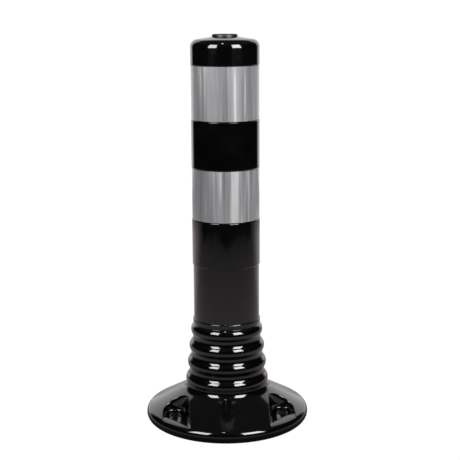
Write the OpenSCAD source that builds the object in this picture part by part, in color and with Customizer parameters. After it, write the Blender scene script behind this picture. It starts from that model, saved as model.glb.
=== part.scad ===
// Flexible marker bollard: bolt-down skirt, bending bellows neck, hollow post,
// two reflective bands, push-in cap and plug. Millimetres, Z up, front is -Y.

/* [Skirt] */

// outer diameter of the skirt
base_d = 195; // [160:1:240]
// radius of the rounded rim where it turns up into the slope
rim_top_r = 8.3; // [4:0.1:10]
// radius of the rounded rim at the ground
rim_bottom_r = 7.7; // [3:0.1:8]
// height of the rim at its widest
rim_z = 8.3; // [8:0.1:12]
// fall of the slope: millimetres outwards for each millimetre down
slope_run = 1.82; // [1.4:0.02:2.2]
// radius of the concave sweep from the slope up into the neck
root_fillet_r = 11; // [8:0.5:28]
// thickness of the moulding over the hollow underside
skirt_wall = 8; // [5:0.5:11]
// thickness of the stiffening ribs under the skirt
under_rib_t = 5; // [3:0.5:8]
// number of stiffening ribs under the skirt
under_rib_n = 6; // [3:3:18]

/* [Anchor pockets] */

// diameter of the circle the anchor holes lie on
anchor_pcd = 147; // [130:1:165]
// radius of the round end of each pocket
pocket_r = 13.8; // [11:0.2:18]
// height of the pocket floor above the ground
pocket_floor_z = 15.5; // [12:0.5:18]
// opening angle of each pocket wall, in degrees
pocket_draft = 5; // [2:0.5:10]
// bore radius of the anchor bush
bush_bore_r = 5.5; // [4.5:0.25:7]
// wall of the anchor bush
bush_wall = 1.5; // [1:0.25:3]
// how far the top of the bush lies below the pocket floor
bush_sink = 0.5; // [0.2:0.1:1]

/* [Bellows neck] */

// height of the crest of the lowest rib
rib_first_z = 49.55; // [44:0.05:60]
// distance from one rib crest to the next
rib_pitch = 20.35; // [16:0.05:24]
// crest radius of the lowest rib
rib_first_r = 49.5; // [46:0.25:54]
// how much smaller each rib is than the one below it
rib_taper = 2.2; // [0:0.1:3]
// radius of the round nose of a rib
rib_nose_r = 9.2; // [6:0.1:10]
// radius of the hollow between two ribs
groove_r = 8.7; // [6:0.1:14]
// bore radius of the neck
neck_bore_r = 33; // [28:0.5:35]
// height of the neck above the crest of its top rib
neck_end = 8.9; // [7:0.1:11]
// height of the bending slice at the bottom of each hollow
web_t = 5; // [3:0.5:7]

/* [Post] */

// outer diameter of the raised rings
post_d = 80; // [76:0.5:84]
// depth of the recesses that hold the bands
recess_depth = 0.9; // [0.5:0.1:1.5]
// bore radius of the post
post_bore_r = 34; // [30:0.5:36]
// height of the collar at the foot of the post
collar_h = 5.6; // [4:0.2:9]
// plain length left on each side of the flexing section
flex_margin = 2; // [1:0.5:4]
// how far the collar stands out from the raised rings
collar_proud = 0.2; // [0:0.1:1]
// length of the lowest recess, which has no band
plain_len = 65.4; // [40:0.1:90]
// length of the lower raised ring
ring_low_len = 55.3; // [30:0.1:80]
// length of the lower band recess
band_low_len = 59.9; // [30:0.1:80]
// length of the middle raised ring
ring_mid_len = 56.1; // [30:0.1:80]
// length of the upper band recess
band_high_len = 61.8; // [30:0.1:80]
// rounding of the edges of the raised rings
ring_edge_r = 1.2; // [0.6:0.1:2]

/* [Reflective bands] */

// thickness of the reflective film
film_t = 0.4; // [0.2:0.05:0.8]
// gap between a band and the end of its recess
film_end_gap = 0.25; // [0.1:0.05:0.6]

/* [Cap and plug] */

// height of the straight side of the cap
cap_side_h = 20.6; // [12:0.1:30]
// radius of the cap's rounded corner
cap_corner_r = 9; // [5:0.5:12]
// angle of the cap's crown, in degrees
cap_crown_a = 9; // [6:0.1:16]
// wall of the cap
cap_wall = 5; // [3:0.5:7]
// length of the spigot that enters the post
spigot_len = 25; // [15:1:40]
// radial clearance of the spigot in the post
spigot_clear = 0.1; // [0.05:0.05:0.4]
// radius of the plug's disc
plug_disc_r = 14.8; // [12:0.2:18]
// thickness of the plug's disc
plug_disc_t = 2.8; // [2.6:0.1:7]
// rounding of the edge of the plug's disc
plug_edge_r = 1.3; // [0.5:0.1:1.3]
// radius of the plug's stem
plug_stem_r = 10; // [6:0.5:12]
// depth of the dish in the plug's disc
plug_dish = 1.2; // [0.5:0.1:2.5]
// section radius of the seal ring round the plug's stem
seal_r = 1.5; // [1:0.1:2]

/* [Hidden] */

// the piece to make, or all
$fn = 96;
eps = 0.01;
base_r = base_d / 2;
slope_a = atan(1 / slope_run);
// the slope is the line through this point, tangent to the rim rounding
slope_r0 = base_r - rim_top_r + rim_top_r * sin(slope_a);
slope_z0 = rim_z + rim_top_r * cos(slope_a);
function slope_z(r) = slope_z0 + (slope_r0 - r) / slope_run;
// centre of the concave sweep, upright where it meets the lowest rib
root_r = rib_first_r - 0.75;
root_cx = root_r + root_fillet_r;
root_tx = root_cx - root_fillet_r * sin(slope_a);
root_cz = slope_z(root_tx) + root_fillet_r * cos(slope_a);
root_tz = root_cz - root_fillet_r * cos(slope_a);

rib_n = 4;
function rib_z(i) = rib_first_z + i * rib_pitch;
function rib_r(i) = rib_first_r - i * rib_taper;
function nose_x(i) = rib_r(i) - rib_nose_r;
// centre of the hollow above rib i, tangent to both noses
half_run = sqrt(pow(rib_pitch, 2) + pow(rib_taper, 2)) / 2;
hollow_out = sqrt(pow(rib_nose_r + groove_r, 2) - pow(half_run, 2));
tilt_a = atan(rib_taper / rib_pitch);
function hollow_x(i) = nose_x(i) - rib_taper / 2 + hollow_out * cos(tilt_a);
function hollow_z(i) = rib_z(i) + rib_pitch / 2 + hollow_out * sin(tilt_a);
// the slice at the bottom of the hollow above rib i
function web_lo(i) = rib_z(i) + rib_pitch / 2 - web_t / 2;
function web_hi(i) = web_lo(i) + web_t;
// the collar stands on the top rib
neck_top_z = rib_z(rib_n - 1) + neck_end;
neck_last_r = post_d / 2 - recess_depth - 0.3;

post_r = post_d / 2;
recess_r = post_r - recess_depth;
collar_top = neck_top_z + collar_h;
plain_top = collar_top + plain_len;
flex_lo = collar_top + flex_margin;
flex_hi = plain_top - flex_margin;
ring_low_top = plain_top + ring_low_len;
band_low_top = ring_low_top + band_low_len;
ring_mid_top = band_low_top + ring_mid_len;
post_top = ring_mid_top + band_high_len;
cap_corner_z = post_top + cap_side_h;
cap_arc_x = post_r - cap_corner_r;
crown_x = cap_arc_x + cap_corner_r * sin(cap_crown_a);
crown_z = cap_corner_z + cap_corner_r * cos(cap_crown_a);
land_r = plug_disc_r + 0.7;
land_z = crown_z + (crown_x - land_r) * tan(cap_crown_a);
spigot_r = post_bore_r - spigot_clear;
cap_in_r = spigot_r - cap_wall + 1;
anchor_r = anchor_pcd / 2;
wall_inset = 0.05;
bush_r = bush_bore_r + bush_wall;

black = [0.03, 0.03, 0.032];
silver = [0.74, 0.75, 0.77];
steel = [0.12, 0.12, 0.125];
seal_black = [0.06, 0.06, 0.06];

// skirt --------------------------------------------------------------

// half section of the solid skirt up to the root of the neck
module skirt_half() {
  // ground to slope
  polygon([
    [0, 0],
    [base_r - rim_bottom_r, 0],
    [base_r - rim_bottom_r, rim_bottom_r],
    [base_r, rim_bottom_r],
    [base_r, rim_z],
    [base_r - rim_top_r, rim_z],
    [slope_r0, slope_z0],
    [root_tx, root_tz],
    [root_tx - 4, root_tz],
    [0, root_tz]
  ]);
  translate([base_r - rim_bottom_r, rim_bottom_r]) circle(rim_bottom_r);
  translate([base_r - rim_top_r, rim_z]) circle(rim_top_r);
  // concave sweep into the neck
  difference() {
    polygon([
      [0, root_tz - 2],
      [root_tx, root_tz - eps],
      [root_tx, root_cz],
      [0, root_cz]
    ]);
    translate([root_cx, root_cz]) circle(root_fillet_r);
  }
}

// skirt below the lower face of rib 1
skirt_top_z = rib_first_z - 6;

module skirt_solid() {
  rotate_extrude() intersection() {
    skirt_half();
    square([base_r + 1, skirt_top_z]);
  }
}

// plan of one pocket: a round end that opens towards -Y
module pocket_plan(r, reach) {
  circle(r);
  // the walls leave the round end just inside it, so that they meet in a clean corner
  tx = (r - wall_inset) * cos(pocket_draft);
  ty = (r - wall_inset) * sin(pocket_draft);
  dx = reach * sin(pocket_draft);
  dy = reach * cos(pocket_draft);
  polygon([[-tx, ty], [-tx - dx, ty - dy], [tx + dx, ty - dy], [tx, ty]]);
}

// the places of the three anchors: the front pair opens forwards, the third to the rear
module at_front_left() {
  translate([-anchor_r * sin(60), -anchor_r * cos(60), 0]) children();
}

module at_front_right() {
  translate([anchor_r * sin(60), -anchor_r * cos(60), 0]) children();
}

module at_rear() {
  rotate([0, 0, 180]) translate([0, -anchor_r, 0]) children();
}

module at_anchors() {
  at_front_left() children();
  at_front_right() children();
  at_rear() children();
}

module skirt_hollow() {
  difference() {
    rotate_extrude() polygon([
      [neck_bore_r + skirt_wall, -1],
      [neck_bore_r + skirt_wall, slope_z(neck_bore_r + skirt_wall + 6) - skirt_wall],
      [neck_bore_r + skirt_wall + 6, slope_z(neck_bore_r + skirt_wall + 6) - skirt_wall],
      [base_r - skirt_wall - 3, slope_z(base_r - skirt_wall - 3) - skirt_wall],
      [base_r - skirt_wall - 3, -1]
    ]);
    for (i = [0 : under_rib_n - 1])
      rotate([0, 0, 90 + (i + 0.5) * 360 / under_rib_n])
        translate([neck_bore_r + 2, -under_rib_t / 2, -2])
          cube([base_r - neck_bore_r - 8, under_rib_t, 60]);
    // solid seats under the pockets
    at_anchors() {
      translate([0, 0, -2]) cylinder(h = 60, r = pocket_r - 1);
      translate([0, 0, pocket_floor_z - skirt_wall + 1])
        linear_extrude(height = 60) pocket_plan(pocket_r + 5, 2 * base_r);
    }
  }
}

module base_skirt() {
  color(black) difference() {
    skirt_solid();
    skirt_hollow();
    translate([0, 0, -1]) cylinder(h = skirt_top_z + 2, r = neck_bore_r);
    at_anchors() {
      translate([0, 0, pocket_floor_z])
        linear_extrude(height = 60) pocket_plan(pocket_r, 2 * base_r);
      translate([0, 0, -1]) cylinder(h = pocket_floor_z + 2, r = bush_r);
    }
  }
}

module anchor_bush() {
  color(steel) difference() {
    cylinder(h = pocket_floor_z - bush_sink, r = bush_r);
    translate([0, 0, -1]) cylinder(h = pocket_floor_z + 2, r = bush_bore_r);
  }
}

// neck ---------------------------------------------------------------

// half section of the whole neck, solid to the bore
module neck_half() {
  difference() {
    union() {
      for (i = [0 : rib_n - 1])
        translate([nose_x(i), rib_z(i)]) circle(rib_nose_r);
      for (i = [0 : rib_n - 2]) difference() {
        polygon([
          [neck_bore_r, rib_z(i)],
          [nose_x(i), rib_z(i)],
          [hollow_x(i), hollow_z(i)],
          [nose_x(i + 1), rib_z(i + 1)],
          [neck_bore_r, rib_z(i + 1)]
        ]);
        translate([hollow_x(i), hollow_z(i)]) circle(groove_r);
      }
      // lowest rib runs into the skirt
      intersection() {
        skirt_half();
        translate([neck_bore_r, skirt_top_z]) square([30, rib_first_z - skirt_top_z]);
      }
      // top rib runs into the foot of the post
      translate([neck_bore_r, rib_z(rib_n - 1)])
        square([neck_last_r - neck_bore_r, neck_top_z - rib_z(rib_n - 1)]);
    }
    square([neck_bore_r, neck_top_z + 5]);
  }
}

module neck_slice(lo, hi) {
  color(black) rotate_extrude() intersection() {
    neck_half();
    translate([neck_bore_r, lo]) square([40, hi - lo]);
  }
}

module bellows_rib(i) {
  neck_slice(i == 0 ? skirt_top_z : web_hi(i - 1), i < rib_n - 1 ? web_lo(i) : neck_top_z);
}

module bellows_web(i) {
  neck_slice(web_lo(i), web_hi(i));
}

// post ---------------------------------------------------------------

// outline of a raised ring with rounded edges
module ring_half(r, lo, hi, e) {
  translate([post_bore_r, lo + e]) square([r - post_bore_r, hi - lo - 2 * e]);
  translate([post_bore_r, lo]) square([r - e - post_bore_r, hi - lo]);
  translate([r - e, lo + e]) circle(e);
  translate([r - e, hi - e]) circle(e);
}

module post_collar() {
  color(black) rotate_extrude() {
    translate([post_bore_r, neck_top_z]) square([recess_r - post_bore_r, flex_lo - neck_top_z]);
    ring_half(post_r + collar_proud, neck_top_z, collar_top, ring_edge_r);
  }
}

module post_flex_section() {
  color(black) rotate_extrude()
    translate([post_bore_r, flex_lo]) square([recess_r - post_bore_r, flex_hi - flex_lo]);
}

module post_tube() {
  color(black) rotate_extrude() {
    translate([post_bore_r, flex_hi]) square([recess_r - post_bore_r, post_top - flex_hi]);
    ring_half(post_r, plain_top, ring_low_top, ring_edge_r);
    ring_half(post_r, band_low_top, ring_mid_top, ring_edge_r);
  }
}

module reflective_band(lo, hi) {
  color(silver) rotate_extrude()
    translate([recess_r, lo + film_end_gap]) square([film_t, hi - lo - 2 * film_end_gap]);
}

// cap and plug -------------------------------------------------------

module top_cap() {
  color(black) rotate_extrude() difference() {
    union() {
      translate([0, post_top + ring_edge_r]) square([post_r, cap_side_h - ring_edge_r]);
      translate([0, post_top]) square([post_r - ring_edge_r, cap_side_h]);
      translate([post_r - ring_edge_r, post_top + ring_edge_r]) circle(ring_edge_r);
      translate([cap_arc_x, cap_corner_z]) circle(cap_corner_r);
      polygon([
        [0, cap_corner_z - 1],
        [cap_arc_x, cap_corner_z - 1],
        [cap_arc_x, cap_corner_z],
        [crown_x, crown_z],
        [land_r, land_z],
        [0, land_z]
      ]);
      translate([0, post_top - spigot_len]) square([spigot_r, spigot_len + eps]);
    }
    // hollow inside, and the hole for the plug
    translate([0, post_top - spigot_len - 1]) square([cap_in_r, spigot_len + cap_side_h]);
    translate([cap_in_r - 6, post_top + cap_side_h - 1.5]) circle(6);
    translate([0, post_top + cap_side_h - 2]) square([cap_in_r - 6, 6.5]);
    square([plug_stem_r, land_z + 5]);
  }
}

plug_len = 14;
seal_z = land_z - 4;
// small gap that the seal ring fills
plug_clear = 0.3;

module cap_plug() {
  color(black) rotate_extrude() difference() {
    union() {
      translate([0, land_z]) square([plug_disc_r, plug_disc_t - plug_edge_r]);
      translate([0, land_z]) square([plug_disc_r - plug_edge_r, plug_disc_t]);
      translate([plug_disc_r - plug_edge_r, land_z + plug_disc_t - plug_edge_r]) circle(plug_edge_r);
      translate([0, land_z - plug_len]) square([plug_stem_r - plug_clear, plug_len + eps]);
    }
    // dish on top and hollow stem
    translate([-eps, land_z + plug_disc_t - plug_dish]) square([plug_disc_r - 4, plug_dish + 1]);
    translate([-eps, land_z - plug_len - 1]) square([plug_stem_r - 4, plug_len]);
    translate([plug_stem_r - plug_clear, seal_z]) circle(seal_r);
  }
}

module plug_seal_ring() {
  color(seal_black) rotate_extrude() intersection() {
    translate([plug_stem_r - plug_clear, seal_z]) circle(seal_r);
    translate([0, seal_z - 5]) square([plug_stem_r, 10]);
  }
}

// assembly -----------------------------------------------------------

base_skirt();
at_front_left() anchor_bush();  // anchor_bush_front_left
at_front_right() anchor_bush();  // anchor_bush_front_right
at_rear() anchor_bush();  // anchor_bush_rear
bellows_rib(0);  // bellows_rib_1
bellows_rib(1);  // bellows_rib_2
bellows_rib(2);  // bellows_rib_3
bellows_rib(3);  // bellows_rib_4
bellows_web(0);  // bellows_web_1
bellows_web(1);  // bellows_web_2
bellows_web(2);  // bellows_web_3
post_collar();
post_flex_section();
post_tube();
reflective_band(ring_low_top, band_low_top);  // reflective_band_lower
reflective_band(ring_mid_top, post_top);  // reflective_band_upper
top_cap();
cap_plug();
plug_seal_ring();
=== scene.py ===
"""Looks of the flexible bollard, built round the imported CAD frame."""

import math

import bpy
import numpy as np
from mathutils import Matrix, Vector


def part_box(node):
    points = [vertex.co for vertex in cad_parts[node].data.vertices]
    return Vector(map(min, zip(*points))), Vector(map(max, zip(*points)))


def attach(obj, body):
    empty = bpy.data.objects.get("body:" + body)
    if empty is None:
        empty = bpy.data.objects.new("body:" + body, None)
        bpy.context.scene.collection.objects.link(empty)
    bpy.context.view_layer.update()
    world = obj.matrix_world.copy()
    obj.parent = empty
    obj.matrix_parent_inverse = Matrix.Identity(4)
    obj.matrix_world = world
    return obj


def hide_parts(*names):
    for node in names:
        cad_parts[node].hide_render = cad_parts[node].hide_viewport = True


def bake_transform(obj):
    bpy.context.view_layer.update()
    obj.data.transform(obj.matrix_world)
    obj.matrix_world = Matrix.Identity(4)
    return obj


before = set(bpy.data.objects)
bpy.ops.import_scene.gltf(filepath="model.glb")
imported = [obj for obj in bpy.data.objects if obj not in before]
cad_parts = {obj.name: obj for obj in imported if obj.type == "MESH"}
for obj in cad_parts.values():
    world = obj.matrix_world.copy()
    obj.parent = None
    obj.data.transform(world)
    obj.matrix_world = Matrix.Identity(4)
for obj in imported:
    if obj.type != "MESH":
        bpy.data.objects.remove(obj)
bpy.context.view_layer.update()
MM = 0.001

# ---------------------------------------------------------------- sizes, mm
# the skirt's outline: rounded rim, straight slope, then a sweep up into the neck
BASE_R = 97.5
RIM_TOP_R, RIM_BOTTOM_R, RIM_Z = 8.3, 7.7, 8.3
SLOPE = 1.82  # run of the slope for each unit of fall
SLOPE_A = math.atan(1 / SLOPE)
# the anchor pockets
ANCHOR_R = 73.5  # bolt circle radius
POCKET_R, POCKET_Z, DRAFT = 13.8, 15.5, math.radians(5)
POCKET_FILLET = 2.0
WALL_STEEP = 9  # rise of a pocket's wall for each unit outwards
BLEND_IN, BLEND_OUT = 1.6, 8.6  # width of the blend between the wall and the slope
HOLE_R = 7.0
# the bellows: ribs of one nose radius, with hollows between them
RIB_Z, RIB_PITCH, RIB_R, RIB_TAPER, NOSE = 49.55, 20.35, 49.5, 2.2, 9.2
HOLLOW = 8.7
RIBS = 4
BORE = 33.0
SKIRT_TOP = RIB_Z - 6
NECK_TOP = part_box("post_collar")[0][2] / MM
# the foot of the post, between the neck and the rigid tube
FLEX_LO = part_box("post_flex_section")[0][2] / MM
FLEX_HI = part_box("post_flex_section")[1][2] / MM
TUBE_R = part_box("post_flex_section")[1][0] / MM
FOOT_WALL = 5.1

# where the slope starts and where it meets the sweep
slope_r0 = BASE_R - RIM_TOP_R + RIM_TOP_R * math.sin(SLOPE_A)
slope_z0 = RIM_Z + RIM_TOP_R * math.cos(SLOPE_A)
ROOT_R, ROOT_FILLET = RIB_R - 0.75, 11.0
root_x = ROOT_R + ROOT_FILLET
root_tx = root_x - ROOT_FILLET * math.sin(SLOPE_A)
root_tz = slope_z0 + (slope_r0 - root_tx) / SLOPE
root_z = root_tz + ROOT_FILLET * math.cos(SLOPE_A)


# ---------------------------------------------------------------- mesh tools
def make_mesh(name, verts, faces, normals, materials=()):
    """A mesh object from points in mm; normals holds one vector for each face corner."""
    me = bpy.data.meshes.new(name)
    me.from_pydata((np.asarray(verts, float) * MM).tolist(), [], faces)
    me.polygons.foreach_set("use_smooth", [True] * len(me.polygons))
    me.normals_split_custom_set(normals)
    me.update()
    ob = bpy.data.objects.new(name, me)
    bpy.context.scene.collection.objects.link(ob)
    for m in materials:
        me.materials.append(m)
    return ob


def lathe(name, rows, inner_r, mat, seg=192, wobble=None):
    """A tube turned about Z. rows holds (r, z, nr, nz) up the outside; inner_r is its bore."""
    ang = np.arange(seg) * 2 * math.pi / seg
    ca, sa = np.cos(ang), np.sin(ang)
    verts, faces, norms = [], [], []
    for r, z, _, _ in rows:
        rr = np.full(seg, r) + (wobble(ang, z) if wobble else 0)
        verts.append(np.c_[rr * ca, rr * sa, np.full(seg, z)])
    n = len(rows)
    for z in (rows[-1][1], rows[0][1]):
        verts.append(np.c_[inner_r * ca, inner_r * sa, np.full(seg, z)])
    verts = np.concatenate(verts)
    for k in range(seg):
        j = (k + 1) % seg
        for i in range(n - 1):
            faces.append((i * seg + k, i * seg + j, (i + 1) * seg + j, (i + 1) * seg + k))
            for row, c in ((i, k), (i, j), (i + 1, j), (i + 1, k)):
                norms.append((rows[row][2] * ca[c], rows[row][2] * sa[c], rows[row][3]))
        t, b = n, n + 1
        faces.append(((n - 1) * seg + k, (n - 1) * seg + j, t * seg + j, t * seg + k))
        norms += [(0, 0, 1)] * 4
        faces.append((t * seg + k, t * seg + j, b * seg + j, b * seg + k))
        norms += [(-ca[c], -sa[c], 0) for c in (k, j, j, k)]
        faces.append((b * seg + k, b * seg + j, j, k))
        norms += [(0, 0, -1)] * 4
    return make_mesh(name, verts, faces, norms, (mat,))


def rows_from(radius, z0, z1, count):
    """Rows of a profile r = radius(z), with normals from its slope."""
    out = []
    e = 0.02
    for z in np.linspace(z0, z1, count):
        a, b = max(z - e, z0 - e), z + e
        slope = (radius(b) - radius(a)) / (b - a)
        n = math.hypot(1, slope)
        out.append((radius(z), float(z), 1 / n, -slope / n))
    return out


# ---------------------------------------------------------------- profiles
def nose(i):
    """Centre of rib i's nose, as radius and height."""
    return RIB_R - i * RIB_TAPER - NOSE, RIB_Z + i * RIB_PITCH


# the hollow's centre lies outside the line between two noses, tangent to both
half_run = math.hypot(RIB_PITCH, RIB_TAPER) / 2
reach = math.sqrt((NOSE + HOLLOW) ** 2 - half_run**2)
tilt = math.atan(RIB_TAPER / RIB_PITCH)


def hollow(i):
    """Centre of the hollow above rib i, as radius and height."""
    x, z = nose(i)
    return x - RIB_TAPER / 2 + reach * math.cos(tilt), z + RIB_PITCH / 2 + reach * math.sin(tilt)


def sweep_r(z):
    """Radius of the concave sweep from the slope up to the lowest rib."""
    return root_x - math.sqrt(max(ROOT_FILLET**2 - (z - root_z) ** 2, 0))


def neck_r(z):
    """Outer radius of the bellows neck at height z."""
    i = int(min(max(round((z - RIB_Z) / RIB_PITCH), 0), RIBS - 1))
    x, c = nose(i)
    r = x + math.sqrt(max(NOSE**2 - (z - c) ** 2, 0.0))
    if z < RIB_Z:
        # the lowest rib blends into the sweep over a width k
        s, k = sweep_r(z), 1.2
        h = max(k - abs(r - s), 0) / k
        return max(r, s) + h * h * k / 4
    for j in (i - 1, i):
        if 0 <= j < RIBS - 1:
            hx, hz = hollow(j)
            f = NOSE / (NOSE + HOLLOW)
            lo = nose(j)[1] + (hz - nose(j)[1]) * f
            hi = nose(j + 1)[1] + (hz - nose(j + 1)[1]) * f
            if lo <= z <= hi:
                return hx - math.sqrt(max(HOLLOW**2 - (z - hz) ** 2, 0))
    return max(r, TUBE_R - 0.3)


# ---------------------------------------------------------------- materials
def new_material(name):
    m = bpy.data.materials.new(name)
    m.use_nodes = True
    nt = m.node_tree
    return m, nt, nt.nodes["Principled BSDF"]


def noise(nt, scale, detail=2.0, rough=0.5, stretch=None):
    """A noise texture in object space; stretch scales X, Y and Z."""
    tc = nt.nodes.new("ShaderNodeTexCoord")
    mp = nt.nodes.new("ShaderNodeMapping")
    tx = nt.nodes.new("ShaderNodeTexNoise")
    tx.inputs["Scale"].default_value = scale
    tx.inputs["Detail"].default_value = detail
    tx.inputs["Roughness"].default_value = rough
    if stretch:
        mp.inputs["Scale"].default_value = stretch
    nt.links.new(tc.outputs["Object"], mp.inputs["Vector"])
    nt.links.new(mp.outputs["Vector"], tx.inputs["Vector"])
    return tx


def ramp(nt, source, low, high, at=(0.35, 0.65)):
    """Maps a factor to a value between low and high."""
    n = nt.nodes.new("ShaderNodeMapRange")
    n.inputs["From Min"].default_value, n.inputs["From Max"].default_value = at
    n.inputs["To Min"].default_value, n.inputs["To Max"].default_value = low, high
    nt.links.new(source, n.inputs["Value"])
    return n.outputs["Result"]


def math_node(nt, kind, *values):
    """A math node; each value is an output or a number."""
    n = nt.nodes.new("ShaderNodeMath")
    n.operation = kind
    for k, v in enumerate(values):
        if isinstance(v, (int, float)):
            n.inputs[k].default_value = v
        else:
            nt.links.new(v, n.inputs[k])
    return n.outputs["Value"]


def colour_ramp(nt, source, stops):
    """Maps a factor to a colour; stops holds (position, colour) pairs."""
    n = nt.nodes.new("ShaderNodeValToRGB")
    el = n.color_ramp.elements
    while len(el) < len(stops):
        el.new(0.5)
    for e, (p, c) in zip(el, stops):
        e.position, e.color = p, (*c, 1)
    nt.links.new(source, n.inputs["Fac"])
    return n.outputs["Color"]


def bump(nt, bsdf, layers):
    """Chains bump layers: (height output, strength, distance in m)."""
    last = None
    for height, strength, dist in layers:
        b = nt.nodes.new("ShaderNodeBump")
        b.inputs["Strength"].default_value = strength
        b.inputs["Distance"].default_value = dist
        nt.links.new(height, b.inputs["Height"])
        if last:
            nt.links.new(last, b.inputs["Normal"])
        last = b.outputs["Normal"]
    nt.links.new(last, bsdf.inputs["Normal"])


def black_moulding(name, gloss=0.07):
    """Glossy black polyurethane: faint orange peel, flow marks and fine handling scuffs."""
    m, nt, b = new_material(name)
    b.inputs["IOR"].default_value = 1.5
    cloud = noise(nt, 38, 4, 0.6)
    col = colour_ramp(
        nt,
        cloud.outputs["Fac"],
        [(0.3, (0.0006, 0.0006, 0.0007)), (0.7, (0.0014, 0.0014, 0.0015))],
    )
    nt.links.new(col, b.inputs["Base Color"])
    scuff = noise(nt, 420, 3, 0.7, (1, 1, 0.25))
    rough = ramp(nt, scuff.outputs["Fac"], gloss, gloss + 0.05, (0.45, 0.85))
    nt.links.new(rough, b.inputs["Roughness"])
    peel = noise(nt, 160, 2, 0.5)
    wave = noise(nt, 22, 1, 0.4)
    layers = [(wave.outputs["Fac"], 0.045, 0.0016), (peel.outputs["Fac"], 0.02, 0.0003)]
    bump(nt, b, layers)
    return m


BLACK = black_moulding("black_moulding_gloss")
BLACK_POST = black_moulding("black_moulding_post")
BLACK_PLUG = black_moulding("black_moulding_plug", 0.4)


def film_material():
    """Silver reflective sheeting: a streaked grey layer with a fine grain under a clear coat."""
    m, nt, b = new_material("reflective_film")
    b.inputs["Metallic"].default_value = 0.2
    b.inputs["Coat Weight"].default_value = 0.5
    b.inputs["Coat Roughness"].default_value = 0.08
    broad = noise(nt, 70, 2, 0.5, (1, 1, 0.04))
    fine = noise(nt, 260, 2, 0.6, (1, 1, 0.03))
    both = math_node(nt, "MULTIPLY_ADD", fine.outputs["Fac"], 0.8, broad.outputs["Fac"])
    col = colour_ramp(
        nt,
        ramp(nt, both, 0.0, 1.0, (0.65, 1.15)),
        [
            (0.1, (0.078, 0.078, 0.085)),
            (0.45, (0.118, 0.118, 0.123)),
            (0.7, (0.15, 0.148, 0.153)),
            (0.9, (0.26, 0.255, 0.26)),
        ],
    )
    nt.links.new(col, b.inputs["Base Color"])
    grain = noise(nt, 900, 2, 0.6)
    nt.links.new(ramp(nt, grain.outputs["Fac"], 0.42, 0.52), b.inputs["Roughness"])
    cells = nt.nodes.new("ShaderNodeTexVoronoi")
    cells.inputs["Scale"].default_value = 1100
    tc = nt.nodes.new("ShaderNodeTexCoord")
    nt.links.new(tc.outputs["Object"], cells.inputs["Vector"])
    bump(nt, b, [(both, 0.35, 0.0012), (cells.outputs["Distance"], 0.15, 0.0002)])
    return m


def steel_material():
    """Black zinc plated steel with turning marks."""
    m, nt, b = new_material("bush_steel")
    b.inputs["Metallic"].default_value = 0.7
    spots = noise(nt, 300, 3, 0.6)
    col = colour_ramp(
        nt, spots.outputs["Fac"], [(0.3, (0.012, 0.012, 0.013)), (0.7, (0.03, 0.03, 0.031))]
    )
    nt.links.new(col, b.inputs["Base Color"])
    nt.links.new(ramp(nt, spots.outputs["Fac"], 0.25, 0.42), b.inputs["Roughness"])
    fine = noise(nt, 1500, 2, 0.5, (1, 1, 6))
    bump(nt, b, [(fine.outputs["Fac"], 0.15, 0.0001)])
    return m


def rubber_material():
    """Matt black rubber with a slight grain."""
    m, nt, b = new_material("seal_rubber")
    n = noise(nt, 700, 3, 0.6)
    grey = [(0.3, (0.012, 0.012, 0.012)), (0.7, (0.022, 0.022, 0.022))]
    nt.links.new(colour_ramp(nt, n.outputs["Fac"], grey), b.inputs["Base Color"])
    nt.links.new(ramp(nt, n.outputs["Fac"], 0.55, 0.75), b.inputs["Roughness"])
    bump(nt, b, [(n.outputs["Fac"], 0.2, 0.0002)])
    return m


FILM, STEEL, RUBBER = film_material(), steel_material(), rubber_material()


def paint(node, mat):
    """Gives a CAD node its material."""
    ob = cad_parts[node]
    ob.data.materials.clear()
    ob.data.materials.append(mat)


for node, mat in (
    ("post_collar", BLACK_POST),
    ("post_tube", BLACK_POST),
    ("top_cap", BLACK),
    ("cap_plug", BLACK_PLUG),
    ("anchor_bush_front_left", STEEL),
    ("anchor_bush_front_right", STEEL),
    ("anchor_bush_rear", STEEL),
    ("plug_seal_ring", RUBBER),
):
    paint(node, mat)

# ---------------------------------------------------------------- bellows
# each half of a hollow is its own piece, from a crest to the bottom of the hollow or back
cuts, stands = [SKIRT_TOP], []
for i in range(RIBS - 1):
    cuts += [RIB_Z + (i + 0.5) * RIB_PITCH, RIB_Z + (i + 1) * RIB_PITCH]
    stands += [f"bellows_rib_{i + 1}", f"bellows_web_{i + 1}"]
for i, node in enumerate(stands):
    rows = rows_from(neck_r, cuts[i], cuts[i + 1], 30)
    piece = lathe(f"bellows_fold_{i + 1}", rows, BORE, BLACK)
    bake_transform(piece)
    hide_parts(node)
top = lathe("bellows_top_rib", rows_from(neck_r, cuts[-1], NECK_TOP, 30), BORE, BLACK)
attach(top, "rib_4")
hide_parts("bellows_rib_4")

# foot of the post, built as a lower and an upper half
middle = (FLEX_LO + FLEX_HI) / 2
for name, lo, hi, a, b in (
    ("post_foot_lower", FLEX_LO, middle, "rib_4", "flex_section"),
    ("post_foot_upper", middle, FLEX_HI, "flex_section", "post"),
):
    rows = [(TUBE_R, float(z), 1, 0) for z in np.linspace(lo, hi, 40)]
    piece = lathe(name, rows, TUBE_R - FOOT_WALL, BLACK_POST)
    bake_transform(piece)
    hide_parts("post_flex_section")


# ---------------------------------------------------------------- bands
FILM_THICK, FILM_EDGE = 0.38, 0.12


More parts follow.
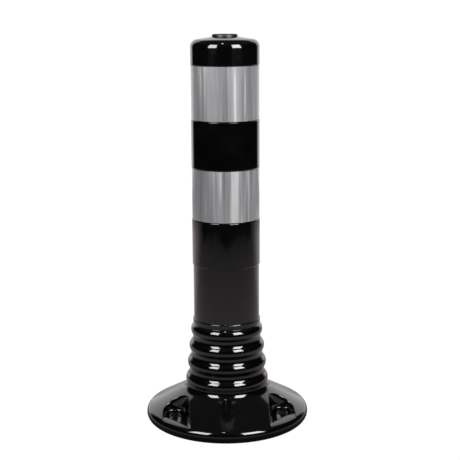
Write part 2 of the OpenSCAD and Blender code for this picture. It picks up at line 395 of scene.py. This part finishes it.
def film(name, node, seed):
    """A wrapped film with slight ripples and an overlap seam at the back."""
    low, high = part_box(node)
    r, z0, z1 = high[0] / MM, low[2] / MM, high[2] / MM
    rng = np.random.default_rng(seed)
    waves = [
        (int(k), rng.uniform(0, 6.28), rng.uniform(0.004, 0.012)) for k in rng.integers(7, 34, 9)
    ]

    def wobble(ang, z):
        w = sum(a * np.sin(k * ang + p + 0.02 * (z - z0) * (k % 3 - 1)) for k, p, a in waves)
        past = ang - math.pi / 2
        seam = 0.16 / (1 + np.exp(-(past - 0.02) * 400)) * (past < 0.16)
        fade = 1 / (1 + np.exp((past - 0.13) * 120))
        return w * 0.6 + seam * fade - 0.03

    # the top and bottom edges are eased
    rows = [(r - FILM_EDGE, z0, 0.5, -0.87)]
    rows += [(r, float(z), 1, 0) for z in np.linspace(z0 + 0.15, z1 - 0.15, 12)]
    rows.append((r - FILM_EDGE, z1, 0.5, 0.87))
    ob = lathe(name, rows, r - FILM_THICK, FILM, 720, wobble)
    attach(ob, "post")
    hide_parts(node)


film("film_band_lower", "reflective_band_lower", 3)
film("film_band_upper", "reflective_band_upper", 8)


# ---------------------------------------------------------------- skirt
def slope_z(r):
    """Height of the plain skirt at radius r, from the neck to the outermost point."""
    r = np.asarray(r, float)
    rim = RIM_Z + np.sqrt(np.clip(RIM_TOP_R**2 - (r - BASE_R + RIM_TOP_R) ** 2, 0, None))
    cone = slope_z0 + (slope_r0 - r) / SLOPE
    sweep = root_z - np.sqrt(np.clip(ROOT_FILLET**2 - (root_x - r) ** 2, 0, None))
    return np.where(r > slope_r0, rim, np.where(r < root_tx, sweep, cone))


def smin(a, b, k):
    """The lower of two heights, blended over a width k."""
    h = np.clip(k - np.abs(a - b), 0, None) / k
    return np.minimum(a, b) - h * h * k / 4


ANCHORS = [math.radians(-60), math.radians(60), math.pi]
POCKET_SPANS = ((24, 79), (160, 200), (281, 336))  # degrees round from the front


def pocket_distance(x, y):
    """Distance outside the wall of the nearest anchor pocket, negative inside it."""
    best = np.full(np.shape(x), 1e3)
    for a in ANCHORS:
        px, py = x - ANCHOR_R * math.sin(a), y + ANCHOR_R * math.cos(a)
        if a == math.pi:
            px, py = -px, -py
        ax = np.abs(px)
        beside = py * math.cos(DRAFT) - ax * math.sin(DRAFT) < 0
        d = np.where(beside, ax * math.cos(DRAFT) + py * math.sin(DRAFT), np.hypot(px, py))
        best = np.minimum(best, d - POCKET_R)
    return best


def skirt_height(x, y):
    """Height of the skirt's upper side, pockets included."""
    d = pocket_distance(x, y)
    fillet = POCKET_FILLET
    into = np.clip(d + fillet, 0, fillet)
    inner = POCKET_Z + fillet - np.sqrt(np.clip(fillet**2 - into**2, 0, None))
    wall = np.where(d < 0, inner, POCKET_Z + fillet + d * WALL_STEEP)
    # the blend into the slope widens from just inside the wall to just outside it
    t = np.clip((d + 1) / 2.5, 0, 1)
    k = BLEND_IN + (t * t * (3 - 2 * t)) * (BLEND_OUT - BLEND_IN)
    return smin(slope_z(np.hypot(x, y)), wall, k)


def skirt():
    """The skirt: a modelled upper side and rim over the CAD underside, bore and bolt holes."""
    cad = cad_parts["base_skirt"].data
    # columns are fine round the pockets
    fine, coarse = math.radians(0.24), math.radians(1.2)
    az, cols = 0.0, []
    while az < 2 * math.pi - fine / 2:
        cols.append(az)
        deg = math.degrees(az)
        near = any(lo < deg < hi for lo, hi in POCKET_SPANS)
        az += fine if near else coarse
    cols = np.array(cols)
    neck = sweep_r(SKIRT_TOP)
    radii = np.concatenate([[neck], np.linspace(neck + 0.4, BASE_R - 0.6, 176)])
    s, c = np.sin(cols), -np.cos(cols)
    verts, norms, e = [], [], 0.03
    for r in radii:
        x, y = r * s, r * c
        z = skirt_height(x, y)
        gx = (skirt_height(x + e, y) - skirt_height(x - e, y)) / (2 * e)
        gy = (skirt_height(x, y + e) - skirt_height(x, y - e)) / (2 * e)
        n = np.c_[-gx, -gy, np.ones(len(cols))]
        verts.append(np.c_[x, y, z])
        norms.append(n / np.linalg.norm(n, axis=1)[:, None])
    # the outermost stretch of the rim and its turn down to the ground
    upper, lower = BASE_R - RIM_TOP_R, BASE_R - RIM_BOTTOM_R
    edge = [
        (RIM_Z + RIM_TOP_R * math.sin(t), upper + RIM_TOP_R * math.cos(t), t)
        for t in (0.3, 0.15, 0)
    ]
    edge += [
        (RIM_BOTTOM_R * (1 - math.sin(t)), lower + RIM_BOTTOM_R * math.cos(t), -t)
        for t in np.linspace(0, math.pi / 2, 12)
    ]
    for z, r, t in edge:
        verts.append(np.c_[r * s, r * c, np.full(len(cols), z)])
        norms.append(np.c_[s * math.cos(t), c * math.cos(t), np.full(len(cols), math.sin(t))])
    m, rows = len(cols), len(verts)
    V, N = np.concatenate(verts), np.concatenate(norms)
    faces, corner = [], []
    centres = [(ANCHOR_R * math.sin(a), -ANCHOR_R * math.cos(a)) for a in ANCHORS]
    # the grid is cut away round each bolt hole, and a ring wider than the cut takes its place
    cut_r, ring_r = HOLE_R + 2.5, HOLE_R + 3.4
    for i in range(rows - 1):
        for k in range(m):
            j = (k + 1) % m
            q = (i * m + j, i * m + k, (i + 1) * m + k, (i + 1) * m + j)
            mx, my = V[list(q), 0].mean(), V[list(q), 1].mean()
            if any(math.hypot(mx - a, my - b) < cut_r for a, b in centres):
                continue
            faces.append(q)
            corner += [N[v] for v in q]
    # the ring is flat, with its inner edge eased
    seg = 72
    turn = np.arange(seg) * 2 * math.pi / seg
    ct, st = np.cos(turn), np.sin(turn)
    floor_z, ease = POCKET_Z - 0.02, 0.5
    ring = [(ring_r, floor_z, 0, 1), (HOLE_R + ease, floor_z, 0, 1)]
    for t in (0.4, 0.8, 1.2, 1.57):
        r, z = HOLE_R + ease * (1 - math.sin(t)), floor_z - ease * (1 - math.cos(t))
        ring.append((r, z, math.sin(t), math.cos(t)))
    for a, b in centres:
        first = len(V)
        for r, z, nr, nz in ring:
            V = np.concatenate([V, np.c_[a + r * ct, b + r * st, np.full(seg, z)]])
            N = np.concatenate([N, np.c_[-nr * ct, -nr * st, np.full(seg, nz)]])
        for i in range(len(ring) - 1):
            for k in range(seg):
                o, j = first + i * seg, (k + 1) % seg
                q = (o + seg + k, o + seg + j, o + j, o + k)
                faces.append(q)
                corner += [N[v] for v in q]
    # the underside, bore and ribs keep the CAD shape: faces on the ground, well under the
    # upper side and within under_r, or in the bore
    under_r = 90.5
    co = np.array([v.co for v in cad.vertices]) / MM
    keep = []
    for p in cad.polygons:
        f = co[list(p.vertices)]
        x, y, z = f.mean(axis=0)
        r = math.hypot(x, y)
        flat = f[:, 2].max() < 0.02
        off_wall = abs(float(pocket_distance(x, y))) > 0.8 or z < POCKET_Z - 1
        inside = r < under_r and z < float(skirt_height(x, y)) - 1.5 and off_wall
        if flat or inside or (r < BORE + 0.2 and z < SKIRT_TOP - 0.01):
            keep.append(p)
    used = sorted({v for p in keep for v in p.vertices})
    index = {v: len(V) + n for n, v in enumerate(used)}
    co = co[used]
    # the CAD bolt holes end below the eased edge
    for a, b in centres:
        wall = np.hypot(co[:, 0] - a, co[:, 1] - b) < HOLE_R + 0.6
        co[wall, 2] = np.minimum(co[wall, 2], POCKET_Z - 0.5)
    V = np.concatenate([V, co])
    for p in keep:
        faces.append(tuple(index[v] for v in p.vertices))
        corner += [tuple(p.normal)] * len(p.vertices)
    ob = make_mesh("skirt_moulding", V, faces, corner, (BLACK,))
    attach(ob, "base")
    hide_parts("base_skirt")


skirt()


# ---------------------------------------------------------------- stage and light
def stage_plane(name, corners, mat):
    """A flat piece of the studio."""
    me = bpy.data.meshes.new(name)
    me.from_pydata(corners, [], [(0, 1, 2, 3)])
    me.materials.append(mat)
    ob = bpy.data.objects.new(name, me)
    bpy.context.scene.collection.objects.link(ob)


def floor_material():
    """A pale floor, white as the camera sees it and a graded grey glow as the object mirrors it,
    the grading being painted light and a painted shadow.
    """
    m, nt, b = new_material("studio_floor")
    nt.nodes.remove(b)
    out = next(n for n in nt.nodes if n.type == "OUTPUT_MATERIAL")
    path, mix = nt.nodes.new("ShaderNodeLightPath"), nt.nodes.new("ShaderNodeMixShader")
    glow, pale = nt.nodes.new("ShaderNodeEmission"), nt.nodes.new("ShaderNodeEmission")
    glow.inputs["Strength"].default_value = 1.05
    tc, gap = nt.nodes.new("ShaderNodeTexCoord"), nt.nodes.new("ShaderNodeVectorMath")
    gap.operation = "LENGTH"
    nt.links.new(tc.outputs["Object"], gap.inputs[0])
    # painted light: the mirrored glow fades from near the object outwards and ends at a ragged
    # edge
    near = ramp(nt, gap.outputs["Value"], 0.56, 0.2, (0.40, 1.08))
    patch = noise(nt, 9, 1, 0.4)
    edge = math_node(nt, "MULTIPLY_ADD", patch.outputs["Fac"], 0.22, gap.outputs["Value"])
    lit = math_node(nt, "MULTIPLY", near, ramp(nt, edge, 1.0, 0.0, (1.19, 1.24)))
    # painted light: beside and behind the object the floor glows brighter, as if lit by the
    # backdrop
    xyz = nt.nodes.new("ShaderNodeSeparateXYZ")
    nt.links.new(tc.outputs["Object"], xyz.inputs[0])
    behind = ramp(nt, xyz.outputs["Y"], 0.0, 0.85, (-0.12, 0.55))
    back = math_node(nt, "MULTIPLY", behind, ramp(nt, gap.outputs["Value"], 1.0, 0.0, (1.1, 1.5)))
    # painted shadow: the glow is dim under the rim, where the object would keep the light off it
    painted_shadow = ramp(nt, gap.outputs["Value"], 0.1, 1.0, (0.105, 0.16))
    glowing = math_node(nt, "MAXIMUM", lit, back)
    nt.links.new(math_node(nt, "MULTIPLY", glowing, painted_shadow), pale.inputs["Strength"])
    pale.inputs["Color"].default_value = (1.0, 0.9, 0.9, 1)
    nt.links.new(path.outputs["Is Camera Ray"], mix.inputs["Fac"])
    nt.links.new(pale.outputs["Emission"], mix.inputs[1])
    nt.links.new(glow.outputs["Emission"], mix.inputs[2])
    nt.links.new(mix.outputs["Shader"], out.inputs["Surface"])
    return m


CORNERS = [(-2.2, -1.0, 0), (2.2, -1.0, 0), (2.2, 2.6, 0), (-2.2, 2.6, 0)]
stage_plane("studio_floor", CORNERS, floor_material())

# the world is white to the camera and dark to everything else
world = bpy.data.worlds.new("studio")
bpy.context.scene.world = world
world.use_nodes = True
wn = world.node_tree
bg = wn.nodes["Background"]
dark = wn.nodes.new("ShaderNodeBackground")
path, mix = wn.nodes.new("ShaderNodeLightPath"), wn.nodes.new("ShaderNodeMixShader")
bg.inputs["Color"].default_value, bg.inputs["Strength"].default_value = (1, 1, 1, 1), 1.05
dark.inputs["Color"].default_value, dark.inputs["Strength"].default_value = (1, 1, 1, 1), 0.0
wn.links.new(path.outputs["Is Camera Ray"], mix.inputs["Fac"])
wn.links.new(dark.outputs["Background"], mix.inputs[1])
wn.links.new(bg.outputs["Background"], mix.inputs[2])
out = next(n for n in wn.nodes if n.type == "OUTPUT_WORLD")
wn.links.new(mix.outputs["Shader"], out.inputs["Surface"])

# the camera looks from slightly to one side of the front
VIEW_AZ = math.radians(-3.0)


def lamp(name, az, out, height, size, radiance, aim_z):
    """A soft light: degrees round from the camera's side, metres out and up, and its aim."""
    li = bpy.data.lights.new(name, "AREA")
    li.shape, li.size, li.size_y = "RECTANGLE", size[0], size[1]
    li.energy = radiance * math.pi * size[0] * size[1]
    ob = bpy.data.objects.new(name, li)
    a = VIEW_AZ + math.radians(az)
    ob.location = Vector((math.sin(a) * out, -math.cos(a) * out, height))
    to_aim = Vector((0, 0, aim_z)) - ob.location
    ob.rotation_euler = to_aim.to_track_quat("-Z", "Y").to_euler()
    bpy.context.scene.collection.objects.link(ob)
    ob.visible_camera = False
    return ob


MID = 0.25  # height of the middle of the post, metres
lamp("softbox_left", -41, 0.88, 0.81, (0.44, 0.70), 17, 0.81)
lamp("softbox_right", 39, 0.88, 0.81, (0.475, 0.70), 20, 0.81)
lamp("front_spot", -10, 0.30, 0.95, (0.04, 0.04), 50, MID)
lamp("back_wall", 180, 1.6, 1.0, (3.0, 2.2), 1.0, 1.0)
lamp("side_wall_left", -146, 1.6, 0.8, (0.9, 1.8), 0.35, 0.8)
lamp("side_wall_right", 146, 1.6, 0.8, (0.9, 1.8), 0.35, 0.8)
# these two light the films' edges and don't show in reflections
for side in (-1, 1):
    fill = lamp("film_fill", side * 128, 1.2, 0.4, (0.8, 0.8), 13, 0.4)
    fill.visible_glossy = False
lamp("ceiling", 0, 0.01, 2.2, (5.0, 5.0), 0.06, MID)

# ---------------------------------------------------------------- camera
cam = bpy.data.cameras.new("camera")
cam.sensor_width, cam.lens = 36.0, 85.235
cam.clip_start, cam.clip_end = 0.05, 50
eye = bpy.data.objects.new("camera", cam)
bpy.context.scene.collection.objects.link(eye)
PITCH, ROLL = math.radians(11.631), math.radians(-0.35)
ahead = Vector((-math.sin(VIEW_AZ), math.cos(VIEW_AZ), 0))
right = Vector((math.cos(VIEW_AZ), math.sin(VIEW_AZ), 0))
BACK, SIDE, UP = 1.2606, 0.00468, 0.4899
eye.location = -BACK * ahead + SIDE * right + Vector((0, 0, UP))
look = ahead * math.cos(PITCH) + Vector((0, 0, -math.sin(PITCH)))
turn = look.to_track_quat("-Z", "Y").to_matrix() @ Matrix.Rotation(ROLL, 3, "Z")
eye.rotation_euler = turn.to_euler()
bpy.context.scene.camera = eye
bpy.context.scene.view_settings.view_transform = "Standard"
